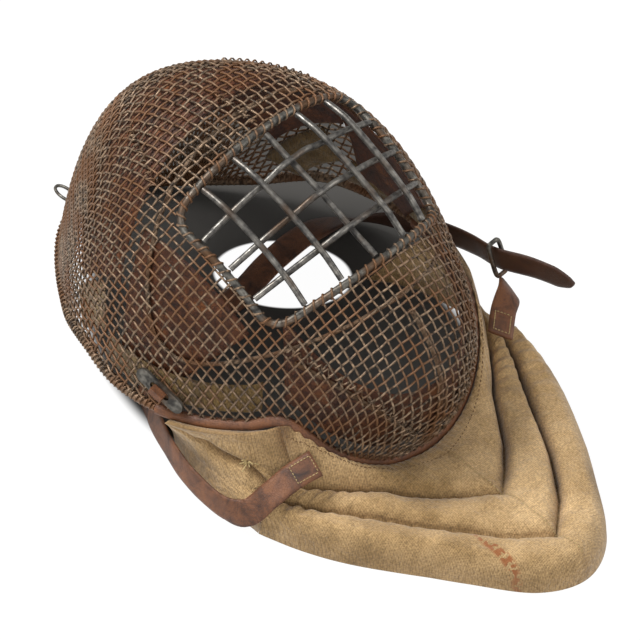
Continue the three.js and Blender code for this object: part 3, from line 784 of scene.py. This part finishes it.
def net_room(p):
    """How far a point is inside the net: below zero in the window and under the rim."""
    angle = math.degrees(math.atan2(abs(p[0]), CENTRE[1] - p[1]))
    side, sweep = cage_angles(p)
    middle, half = (WINDOW_LOW + WINDOW_HIGH) / 2, (WINDOW_HIGH - WINDOW_LOW) / 2
    in_window = max(abs(side) - WINDOW_SIDE, abs(sweep - middle) - half) * WINDOW_MM_PER_DEGREE
    return min(p[2] - rim_height(angle), in_window)


def woven_wires(net, family, crimp):
    """The wires of one family, cut at the window and the rim, over and under their crossings."""
    lines = []
    for k in range(-NET_LIMIT, NET_LIMIT + 1):
        row = [net.get((k, j) if family == 0 else (j, k)) for j in range(-NET_LIMIT, NET_LIMIT + 1)]
        run = []
        before, before_room = None, -1.0
        for n, p in enumerate(row + [None]):
            room = net_room(p) if p is not None else -1.0
            if p is not None and before is not None and (room > 0) != (before_room > 0):
                inner, outer = (p, before) if room > 0 else (before, p)
                cut = bisect(0.0, 1.0, lambda t: net_room(on_cage(inner + (outer - inner) * t)) > 0,
                             CUT_HALVINGS)
                run.append(on_cage(inner + (outer - inner) * cut, WIRE_DEPTH))
            elif room > 0 and before is not None and before_room > 0:
                run.append(on_cage((before + p) / 2, WIRE_DEPTH))
            if room > 0:
                weave = 1 if (k + n + family) % 2 else -1
                run.append(on_cage(p, WIRE_DEPTH - weave * crimp))
            else:
                if len(run) > 2:
                    lines.append((run, False))
                run = []
            before, before_room = p, room
    return lines


class MASK_OT_net(bpy.types.Operator):
    """Weaves the iron wire net over the cage, with the lashings of its darts"""

    bl_idname = "mask.net"
    bl_label = "Wire net"

    def execute(self, context):
        sizes = context.scene.mask_sizes
        pitch, radius = sizes.wire_pitch * 1000, sizes.wire_radius * 1000
        net = woven_net(pitch)
        for family, name, replaces in ((0, "net_warp", NET_PANELS), (1, "net_weft", ())):
            wires(name, woven_wires(net, family, radius * 0.95), radius, 1, "net", "rusted_wire", replaces)
        lines = []
        for (s0, w0), (s1, w1) in DARTS:
            line = [cage_at(s0 + (s1 - s0) * t, w0 + (w1 - w0) * t, 0.6) for t in np.linspace(0, 1, 16)]
            lines.append(coil(line, 1.5, 4.2))
        wires("dart_lashings", lines, 0.5, 0, "net", "rusted_wire")
        for node in ("ring_rib", "chin_rib", "dart_rib_right", "dart_rib_left"):
            dress(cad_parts[node], "net")
        return {"FINISHED"}


# The window.


def bar_lines():
    """The window's woven rods: the middle upright under the cross rods, the others over them."""
    inset = (FRAME_ROD + 1.5 * GAP) / WINDOW_MM_PER_DEGREE
    lift_most, depth = BAR_ROD + GAP / 2, CAGE_WALL / 2
    lines = []
    for c in range(1, BAR_COLUMNS):
        side = -WINDOW_SIDE + 2 * WINDOW_SIDE * c / BAR_COLUMNS
        most = -lift_most if c == BAR_COLUMNS // 2 else lift_most
        low, rise = WINDOW_LOW + inset, WINDOW_HIGH - WINDOW_LOW - 2 * inset
        lines.append(([cage_at(side, low + rise * t, depth - most * min(1, 6 * min(t, 1 - t)))
                       for t in np.linspace(0, 1, 41)], False))
    for r in range(1, BAR_ROWS):
        sweep = WINDOW_LOW + (WINDOW_HIGH - WINDOW_LOW) * r / BAR_ROWS
        reach = WINDOW_SIDE - inset
        line = []
        for t in np.linspace(0, 1, 61):
            side = -reach + 2 * reach * t
            hump = max(0, 1 - abs(side) / (WINDOW_SIDE / 3))
            lift = (2 * min(1, 1.6 * ease(hump)) - 1) * lift_most * min(1, 10 * min(t, 1 - t))
            line.append(cage_at(side, sweep, depth - lift))
        lines.append((line, False))
    return lines


class MASK_OT_window(bpy.types.Operator):
    """Makes the window's frame, its woven rods and the wire ends wound round the frame"""

    bl_idname = "mask.window"
    bl_label = "Window"

    def execute(self, context):
        outline = [cage_at(*window_outline(t), CAGE_WALL / 2) for t in np.linspace(0, 1, 160, endpoint=False)]
        wires("window_rod", [(outline, True)], FRAME_ROD, 3, "iron", "worn_steel", ("window_frame",))
        nodes = [f"window_bar_upright_{c}" for c in range(1, BAR_COLUMNS)]
        nodes += [f"window_bar_cross_{r}" for r in range(1, BAR_ROWS)]
        wires("window_bars", bar_lines(), BAR_ROD, 3, "bar", "worn_steel", nodes)
        wraps = [coil(outline, FRAME_ROD + 0.25, 5.6, closed=True)]
        wires("window_wraps", wraps, 0.62, 1, "net", "rusted_wire")
        return {"FINISHED"}


# The rim.


class MASK_OT_rim(bpy.types.Operator):
    """Makes the rim rod with its wrapping, and the stitched leather piping round the chin"""

    bl_idname = "mask.rim"
    bl_label = "Rim and piping"

    def execute(self, context):
        bare = [rim_at(a if a <= 180 else a - 360, RIM_INSET)
                for a in np.linspace(PIPING_END, 360 - PIPING_END, 120)]
        wires("rim_rod", [(bare, False)], RIM_WIRE, 2, "net", "iron", ("rim_wire",))
        lifted = [p + np.array([0, 0, 0.8]) for p in bare]
        wires("rim_wraps", [coil(lifted, RIM_WIRE + 0.35, 3.2)], 0.6, 0, "net", "rusted_wire")
        cased = [rim_at(a, RIM_INSET) for a in np.linspace(-PIPING_STOP, PIPING_STOP, 140)]
        wires("leather_piping", [(cased, False)], PIPING_RADIUS, 4, "strap", "strap_leather", ("piping",))
        return {"FINISHED"}


# The bib.


def bib_lines(station):
    """The bib's lines at a place along its stations: piping, inner channel, outer channel, edge."""
    size = min(float(BIB_ENDS), abs(station))
    hand = -1.0 if station < 0 else 1.0
    row = np.array(read_columns(BIB_STATIONS, size, range(7)))
    # The edge is a smooth curve, while the channels keep their mitred corner at the tip.
    for c in (5, 6):
        i = min(5, int(size))
        t = size - i
        p = BIB_STATIONS[:, c]
        before = p[i - 1] if i else (p[1] if c == 6 else -p[1])
        after = p[i + 2] if i < 5 else 2 * p[6] - p[5]
        row[c] = 0.5 * (2 * p[i] + (p[i + 1] - before) * t
                        + (2 * before - 5 * p[i] + 4 * p[i + 1] - after) * t * t
                        + (3 * p[i] - before - 3 * p[i + 1] + after) * t ** 3)
    top = rim_at(hand * row[0], -PIPING_CLEAR)
    made = [top]
    for c in (1, 3, 5):
        shift = BIB_TIP_SHIFT * clamp((-row[c + 1] - 20) / 80)
        made.append(np.array([hand * row[c] + shift, row[c + 1], 0.0]))
    return made


BIB_COLUMNS = 220
BIB_ROWS = 96
BIB_LINES = {}
BIB_VOXEL, BIB_REACH = 0.005, 0.002

# How far each band of the bib swells over its channels, and how deep the channels are sewn.
INNER_PUFF, MIDDLE_PUFF, OUTER_PUFF = 4.5, 7.5, 6.5
SEWN_DEPTH = 3.5
PIPING_DIP = 3.0


def bib_place(u, v):
    """The quilted top at shares along and across the bib."""
    station = (2 * u - 1) * BIB_ENDS
    key = round(u, 6)
    if key not in BIB_LINES:
        BIB_LINES[key] = bib_lines(station)
    lines = BIB_LINES[key]
    across = v * 3
    band_number = min(2, int(across))
    t = across - band_number
    point = lines[band_number] * (1 - t) + lines[band_number + 1] * t
    puff = (4 * t * (1 - t)) ** 0.42
    far_side = clamp(station / 1.5)
    crease, depth = 0.17 - 0.08 * far_side, 0.25 + 1.15 * far_side
    if band_number == 0:
        z = lines[0][2] * (1 - t) + CHANNEL_HEIGHT * t + puff * INNER_PUFF
        z -= PIPING_DIP * bell(1 - t, 0.10) * (0.5 + 0.6 * far_side)
    elif band_number == 1:
        z = CHANNEL_HEIGHT + puff * MIDDLE_PUFF
        z -= SEWN_DEPTH * (bell(t, crease) + bell(1 - t, crease)) * depth
    else:
        roll = math.sqrt(max(0, 1 - max(0, (t - 0.55) / 0.45) ** 2))
        z = (CHANNEL_HEIGHT + OUTER_PUFF * (1 - fade(t, 0.16))) * roll + 0.2
        z -= SEWN_DEPTH * bell(t, crease) * depth
    spot = Vector(point) * 0.001
    wrinkle = noise.noise(spot * 48) * 1.5 + noise.noise(spot * 120) * 0.8 + noise.noise(spot * 260) * 0.3
    gather = clamp((abs(station) - 3) / 2.2)
    pucker = math.sin(station * 23 + 3 * noise.noise(spot * 30)) * 0.4 * fade(min(t, 1 - t), 0.14)
    pucker += math.sin(station * 15 + 2.5 * t + 4 * noise.noise(spot * 25)) * 0.9 * gather
    point[2] = max(0.15, z + (wrinkle + pucker) * min(1, 5 * (1 - v) + 0.12))
    return point


def bib_under(u, v):
    """The bib's underside, which lies on the table from its inner channel outwards."""
    point = bib_place(u, v)
    lifted = max(0.0, 1 - v * 3)
    point[2] = max(0.0, min(point[2] - 0.12, (point[2] - 10) * lifted))
    return point


def bib_dirt_and_shade(u, v):
    """The bib's darkening: painted shade in its channels and under the piping, darker at its edge, and dirt
    at its mitre and torn place.
    """
    across = v * 3
    station = (2 * u - 1) * BIB_ENDS
    near = min(abs(across - 1), abs(across - 2))
    # Painted shade in the channels, deepest on the far side where they are sewn deepest.
    deep = 0.35 + 0.65 * clamp(station / 1.5)
    torn = 0.95 * bell(u, 0.035) * bell(across, 0.5)
    return min(1.0, bell(near, 0.07) * deep + 0.45 * fade(across, 0.16) + torn
               + 0.3 * fade(3 - across, 0.12) + 0.3 * bell(abs(station), 0.05))


class MASK_OT_bib(bpy.types.Operator):
    """Makes the stuffed canvas bib with its quilting channels, mitre seam and stitches"""

    bl_idname = "mask.bib"
    bl_label = "Bib"

    def execute(self, context):
        sizes = context.scene.mask_sizes
        pad = closed_pad("quilted_bib", BIB_COLUMNS, BIB_ROWS, bib_place, bib_under, bib_dirt_and_shade)
        finish_piece(pad, "canvas", "canvas", ("bib",))
        stuffed(pad, BIB_VOXEL, BIB_REACH)
        stitch = sizes.stitch_length * 1000
        lines = stitch_lines([bib_place(0.5, v) for v in np.linspace(0.10, 0.93, 60)], stitch)
        for row in (1 / 3, 2 / 3):
            lines += stitch_lines([bib_place(u, row) for u in np.linspace(0.02, 0.98, 200)], stitch)
        wires("bib_stitches", lines, THREAD_RADIUS, 0, "thread", "canvas")
        below = [bib_place((angle_to_station(angle) / BIB_ENDS + 1) / 2, 0.075)
                 for angle in np.linspace(-37.4, 37.4, 150)]
        wires("piping_stitches", stitch_lines(below, stitch), 0.26, 0, "thread_dark", "strap_leather")
        return {"FINISHED"}


def angle_to_station(angle):
    """The bib's station at a rim angle."""
    return math.copysign(np.interp(abs(angle), BIB_STATIONS[:, 0], np.arange(len(BIB_STATIONS))), angle)


WING_VOXEL, WING_REACH = 0.004, 0.0015
WING_OUT = 4


def wing_crease(u, v):
    """The fold that runs down a wing to the bib, deepest at the tied tuft."""
    line = 0.24 + 0.30 * (0.86 - u) + 0.3 * max(0.0, 1 - u / 0.25) + 0.02 * math.sin(u * 21)
    deep = 0.6 + 0.4 * bell(u - 0.25, 0.2)
    return bell(v - line, 0.05) * min(1, u * 12) * deep


def wing_place(hand, out):
    """A wing's outer or inner face by shares along the rim and down to the table."""
    def place(u, v):
        angle, x, y = read_columns(WING_STATIONS, u * 4, range(3))
        top = rim_at(hand * angle, -PIPING_CLEAR - 0.4)
        point = top * (1 - v) + np.array([hand * x, y, 0.0]) * v
        spot = Vector(point) * 0.001
        fold = noise.noise(spot * 60) * 1.3 + noise.noise(spot * 170) * 0.5
        swell = 4 * v * (1 - v) * (1.0 + 0.9 * fold) if out else 4 * v * (1 - v)
        point[0] += hand * (out + swell) - hand * wing_crease(u, v) * (4.4 if out else 0)
        # The first part of a wing takes the form of the bib's end, to which it is sewn.
        share = ease(min(1.0, u / 0.34))
        end = bib_place(0.0 if hand < 0 else 1.0, v)
        end = end + np.array([0, 0.2, 0 if out else -min(3.0, end[2])])
        return end * (1 - share) + point * share

    return place


def wing_dirt_and_shade(u, v):
    """The darkening of a wing: painted shade under the piping and along its fold, darker at its foot, and
    dirt where it is sewn to the bib.
    """
    torn = bell(u, 0.13) * bell(v - 0.1, 0.13)
    return min(1.0, 0.5 * fade(v, 0.1) + 0.3 * fade(1 - v, 0.08) + wing_crease(u, v) + torn)


class MASK_OT_wings(bpy.types.Operator):
    """Makes the canvas wings behind the bib"""

    bl_idname = "mask.wings"
    bl_label = "Wings"

    def execute(self, context):
        for side, hand in (("right", -1), ("left", 1)):
            outer, inner = wing_place(hand, WING_OUT), wing_place(hand, 0)
            pad = closed_pad(f"canvas_wing_{side}", 60, 36, outer, inner, wing_dirt_and_shade)
            finish_piece(pad, "canvas", "canvas", (f"bib_wing_{side}",))
            stuffed(pad, WING_VOXEL, WING_REACH)
        # The ends of the tie that gathers the near wing spread and hang over.
        root = wing_place(-1, WING_OUT)(0.25, 0.40)
        strands = []
        for k in range(12):
            lean = np.array([noise.noise(Vector(spot)) for spot in (
                (k * 1.7, 0.3, 0.1), (0.2, k * 1.3, 0.6), (k * 0.9, 0.7, 0.2))]) * 9
            strands.append(([root + lean * t * t + np.array([-3.5 * t, -2.0 * t, 5.5 * t - 4 * t * t])
                             for t in np.linspace(-0.4, 1, 8)], False))
        wires("thread_tuft", strands, 0.45, 0, "thread", "canvas")
        return {"FINISHED"}


# The lining.

# Each lining lies between two side and two sweep angles, or between two rim angles and two heights
# over the rim, at a depth under the cage, and has its thickness, material and slot.
LEATHER, COTTON = ("lining", "lining_leather"), ("shaded_canvas_lining", "canvas")
LININGS = [
    ("forehead", "cage", -44, 44, 100, 136, 3.3, 5, LEATHER, "forehead_pad"),
    ("cheek_right", "cage", -62, -30, 57, 97, 6.6, 3, LEATHER, "cheek_pad_right"),
    ("cheek_left", "cage", 30, 62, 57, 97, 6.6, 3, LEATHER, "cheek_pad_left"),
    ("nape_right", "cage", -59, -46, 110, 147, 3.3, 3, COTTON, "nape_lining_right"),
    ("nape_left", "cage", 46, 59, 110, 147, 3.3, 3, COTTON, "nape_lining_left"),
    # The chin's lining is a dark leather sheet that stands in for the shade behind the chin's net.
    ("chin", "rim", -36, 36, 12, 56, 6.6, 2, LEATHER, "chin_lining"),
    ("side_left", "rim", 42, 100, 8, 26, 3.3, 2, COTTON, "side_lining_left"),
    ("side_right", "rim", -100, -42, 8, 26, 3.3, 2, COTTON, "side_lining_right"),
]


def lining_face(spec, inner):
    """A lining's outer or inner face by its two shares."""
    _, form, a0, a1, b0, b1, depth, thick, *_ = spec

    def at(u, v):
        puff = (16 * u * (1 - u) * v * (1 - v)) ** 0.3
        fold = noise.noise(Vector((u * 5, v * 4, a0 * 0.37))) * 1.6 * min(1, 6 * v * (1 - v))
        inward = depth + (max(0.3, thick * puff + fold * puff) if inner else 0.0)
        a, b = a0 + (a1 - a0) * u, b0 + (b1 - b0) * v
        if form == "rim":
            return on_cage(rim_at(a, 0, b), inward)
        return cage_at(a, b, inward)

    return at


def lining_edge(u, v):
    """The dirt and dark binding at a lining's edge."""
    return fade(min(u, 1 - u, v, 1 - v), 0.05) * 0.7


class MASK_OT_lining(bpy.types.Operator):
    """Makes the leather pads and canvas lining sewn inside the net"""

    bl_idname = "mask.lining"
    bl_label = "Lining"

    def execute(self, context):
        for spec in LININGS:
            name, form, a0, a1 = spec[:4]
            wide = max(24, int((a1 - a0) * (1.4 if form == "rim" else 1.2)))
            pad = closed_pad(name + "_inner_pad", wide, 36, lining_face(spec, False),
                             lining_face(spec, True), lining_edge)
            finish_piece(pad, *spec[8], (spec[9],))
        return {"FINISHED"}


# Straps and fittings.

BUCKLE_MIDDLE = (102.0, 6.0, 47.0)
BUCKLE_WIDE, BUCKLE_DEEP, BUCKLE_WIRE = 11, 4, 1.3
LOOP_WIRE, LOOP_HALF, LOOP_LENGTH = 0.9, 3.5, 15


class MASK_OT_straps(bpy.types.Operator):
    """Makes the neck strap, the buckle's strap piece and their stitching"""

    bl_idname = "mask.straps"
    bl_label = "Straps"

    def execute(self, context):
        neck = band("leather_neck_strap", NECK_STRAP, 15, 2, 240, taper=11)
        # Painted shade: the neck strap grows darker over the mask's far side, towards its free tip.
        dark = neck.data.attributes.new("far_side_shade", "FLOAT", "POINT")
        for vert, value in zip(neck.data.vertices, dark.data):
            value.value = 0.8 * clamp((vert.co.x - 0.055) / 0.03)
        finish_piece(neck, "strap", "strap_leather", ("neck_strap",))
        chape = band("leather_chape", CHAPE, 14, 2, 48)
        finish_piece(chape, "strap", "strap_leather", ("buckle_chape",))
        lines = []
        for table, start, end, width in ((NECK_STRAP, 0.004, 0.028, 10), (CHAPE, 0.6, 0.95, 9)):
            line = catmull(table, 400)
            spots = line[int(start * 400):int(end * 400) + 1]
            along = unit(spots[-1, :3] - spots[0, :3])
            rows = [[s[:3] + unit(np.cross(along, s[3:])) * sign * width / 2 + unit(s[3:]) * 1.05
                     for s in spots] for sign in (-1, 1)]
            lines += stitch_lines(rows[0] + rows[1][::-1] + rows[0][:1], 1.9, spots[0, 3:])
        wires("strap_stitches", lines, THREAD_RADIUS, 0, "thread", "strap_leather")
        return {"FINISHED"}


class MASK_OT_fittings(bpy.types.Operator):
    """Makes the buckle and hanging loop, and finishes the side plates and plate tabs"""

    bl_idname = "mask.fittings"
    bl_label = "Fittings"

    def execute(self, context):
        middle = np.array(BUCKLE_MIDDLE)
        along, out = unit(np.array([0, -0.95, 0.3])), unit(np.array([1, 0, 0.1]))
        across = np.cross(along, out)

        def squared(value):
            return math.copysign(abs(value) ** 0.4, value)

        ring = [middle + across * BUCKLE_WIDE * squared(math.cos(a))
                + out * BUCKLE_DEEP * squared(math.sin(a))
                for a in np.linspace(0, 2 * math.pi, 64, endpoint=False)]
        wires("wire_buckle", [(ring, True)], BUCKLE_WIRE, 2, "iron", "iron", ("buckle",))
        root = rim_at(-178.6, RIM_INSET)
        start = RIM_WIRE + LOOP_WIRE - GAP
        eye = []
        for a in np.linspace(0, 2 * math.pi, 48, endpoint=False):
            out_along = (1 - math.cos(a)) / 2
            wide = LOOP_HALF * math.sin(a) * (0.85 + 0.15 * out_along)
            eye.append(np.array([root[0] + wide, root[1] + start + LOOP_LENGTH * out_along, root[2]]))
        wires("wire_loop", [(eye, True)], LOOP_WIRE, 2, "iron", "iron", ("hanging_loop",))
        for hand in ("right", "left"):
            dress(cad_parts[f"side_plate_{hand}"], "iron")
            dress(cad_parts[f"plate_tab_{hand}"], "strap")
        return {"FINISHED"}


# The stage.


# The floor's sheet is dark and glows white, a painted glow. The glow is left out in two ellipses as painted
# shade, under the mask and behind its net, and put back as a painted pool of light in one patch that shows
# through the window. Each has its centre and half size in millimetres, its turn, where its edge starts and
# ends, and how it joins the rest.
PAPER_GLOW = 0.97
GLOW_SHAPES = [
    ((37, 111), (97, 146), -0.56, (0.9, 1.0), None),
    ((4, 60), (92, 125), 0.0, (0.94, 1.03), "MINIMUM"),
    ((42, 103), (37, 24), -0.84, (1.02, 0.96), "MAXIMUM"),
]

# Each lamp has its place and width in metres, and its watts.
LAMPS = [("key", (-0.5, 0.9, 1.5), 0.7, 34), ("fill", (0.9, -0.9, 1.2), 1.2, 10),
         ("front", (-1.1, -0.8, 0.8), 1.0, 7)]
LAMP_TARGET = Vector((0, 0, 0.06))
WORLD_STRENGTH = 0.42
VIEW_SHIFT = (0.0308, 0.0302)


def glowing_paper():
    """Dark paper with a painted white glow, painted shade under the mask and a painted pool of light."""
    paper, tree, shader, place = surface("painted_glow_paper")
    lit = None
    for centre, half, turn, (start, end), joined in GLOW_SHAPES:
        here = put(tree, "Mapping", {
            "Vector": place, "Location": tuple(to_row((*centre, 0))), "Rotation": (0.0, 0.0, turn),
            "Scale": (half[0] / 1000, half[1] / 1000, 1.0)}, vector_type="TEXTURE")
        away = put(tree, "VectorMath", {0: (here, "Vector")}, operation="LENGTH")
        share = put(tree, "MapRange", {"Value": (away, "Value"), "From Min": start, "From Max": end},
                    interpolation_type="SMOOTHSTEP")
        lit = combine(tree, joined, (lit, 0), (share, 0)) if joined else share
    glow = combine(tree, "MULTIPLY", (lit, 0), PAPER_GLOW)
    feed(tree, shader, {"Base Color": linear("#3F3D3A"), "Roughness": 0.9, "Emission Color": linear(WHITE),
                        "Emission Strength": (glow, 0)})
    return paper


class MASK_OT_stage(bpy.types.Operator):
    """Makes the floor with its painted glow, the soft lights and the camera"""

    bl_idname = "mask.stage"
    bl_label = "Stage"

    def execute(self, context):
        bm = bmesh.new()
        bmesh.ops.create_grid(bm, x_segments=2, y_segments=2, size=4.0)
        floor = mesh_object("floor", bm)
        floor.data.materials.append(glowing_paper())
        world = bpy.data.worlds.new("studio")
        context.scene.world = world
        context.scene.view_settings.view_transform = "Standard"
        world.use_nodes = True
        background = world.node_tree.nodes["Background"]
        background.inputs["Color"].default_value = linear(WHITE)
        background.inputs["Strength"].default_value = WORLD_STRENGTH
        for name, spot, size, power in LAMPS:
            light = bpy.data.lights.new(name, "AREA")
            light.size = size
            light.energy = power
            lamp = add_object(name, light)
            lamp.location = spot
            lamp.rotation_euler = (LAMP_TARGET - lamp.location).to_track_quat("-Z", "Y").to_euler()
        data = bpy.data.cameras.new("camera")
        data.lens = SENSOR_WIDTH * CAMERA_DISTANCE / VIEW_WIDTH
        data.sensor_width = SENSOR_WIDTH
        data.clip_end = 20
        camera = add_object("camera", data)
        right, up = VIEW_SHIFT
        centre = Vector(to_row((0, 0, 125))) - right * CAMERA_RIGHT - up * CAMERA_UP
        turn = Matrix((CAMERA_RIGHT, CAMERA_UP, CAMERA_BACK)).transposed().to_4x4()
        camera.matrix_world = Matrix.Translation(centre + CAMERA_BACK * CAMERA_DISTANCE) @ turn
        context.scene.camera = camera
        return {"FINISHED"}


OPERATORS = (MASK_OT_stage, MASK_OT_net, MASK_OT_window, MASK_OT_rim, MASK_OT_bib, MASK_OT_wings,
             MASK_OT_lining, MASK_OT_straps, MASK_OT_fittings)


class MASK_PT_panel(bpy.types.Panel):
    """Lists the steps that build the mask"""

    bl_idname = "MASK_PT_panel"
    bl_label = "Fencing mask"
    bl_space_type = "VIEW_3D"
    bl_region_type = "UI"
    bl_category = "Mask"

    def draw(self, context):
        column = self.layout.column()
        for settings in (context.scene.mask_sizes, context.scene.mask_colours):
            for key in settings.__annotations__:
                column.prop(settings, key)
        for operator in OPERATORS:
            column.operator(operator.bl_idname)


CLASSES = (MaskSizes, MaskColours, *OPERATORS, MASK_PT_panel)


def register():
    for cls in CLASSES:
        bpy.utils.register_class(cls)
    bpy.types.Scene.mask_sizes = bpy.props.PointerProperty(type=MaskSizes)
    bpy.types.Scene.mask_colours = bpy.props.PointerProperty(type=MaskColours)


def unregister():
    del bpy.types.Scene.mask_colours
    del bpy.types.Scene.mask_sizes
    for cls in reversed(CLASSES):
        bpy.utils.unregister_class(cls)


def main():
    register()
    make_materials()
    for operator in OPERATORS:
        getattr(bpy.ops.mask, operator.bl_idname.split(".")[1])()


if __name__ == "__main__":
    main()
